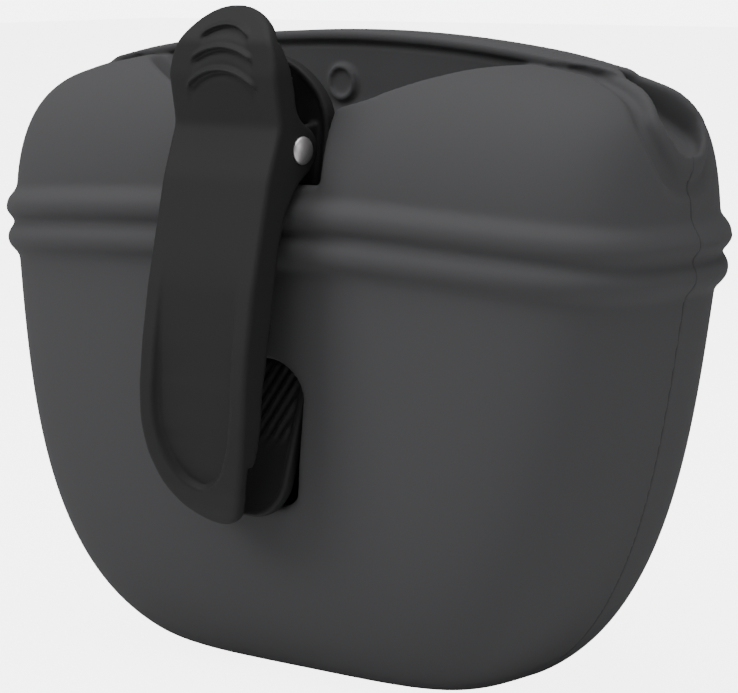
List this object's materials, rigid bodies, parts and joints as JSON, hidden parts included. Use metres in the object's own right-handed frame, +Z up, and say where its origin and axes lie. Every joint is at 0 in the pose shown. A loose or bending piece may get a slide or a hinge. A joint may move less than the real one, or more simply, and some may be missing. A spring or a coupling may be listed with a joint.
{
  "type": "treat pouch",
  "caption": "One-piece moulded silicone treat pouch with two sprung magnetic lips and a sprung belt clip threaded through its back wall.",
  "frame": {"origin": "centre of the small flat that the pouch stands on, on the mould's parting plane", "axes": "+X along the mouth, -Y towards the belt clip, +Z up"},
  "size_m": [0.1327, 0.0722, 0.1069],
  "materials": {
    "pouch_silicone": "matte moulded silicone",
    "clip_plastic": "fine spark-eroded grain",
    "pin_steel": "domed rivet heads",
    "spring_steel": "drawn wire",
    "magnet_nickel": "nickel plate"
  },
  "bodies": {
    "pouch": {"pouch_body": "pouch_silicone", "clip_base": "clip_plastic", "clip_pin": "pin_steel", "clip_spring": "spring_steel"},
    "back_lip": {"back_lip": "pouch_silicone", "back_magnet": "magnet_nickel"},
    "front_lip": {"front_lip": "pouch_silicone", "front_magnet": "magnet_nickel"},
    "lever": {"clip_lever": "clip_plastic"}
  },
  "joints": [
    {"name": "lever_hinge", "type": "hinge", "parent": "pouch", "child": "lever", "pos_m": [0, -0.0254, 0.085], "axis": [-1, 0, 0], "range_deg": [0, 20], "stiffness_Nm_per_rad": 0.12, "springref_deg": -20.05, "deforming": ["clip_spring"]},
    {"name": "back_lip_bend", "type": "hinge", "parent": "pouch", "child": "back_lip", "pos_m": [0, -0.0222, 0.0895], "axis": [1, 0, 0], "range_deg": [0, 22], "stiffness_Nm_per_rad": 0.08, "springref_deg": -5.73},
    {"name": "front_lip_bend", "type": "hinge", "parent": "pouch", "child": "front_lip", "pos_m": [0, 0.0272, 0.0895], "axis": [-1, 0, 0], "range_deg": [0, 32], "stiffness_Nm_per_rad": 0.08, "springref_deg": -5.73}
  ]
}
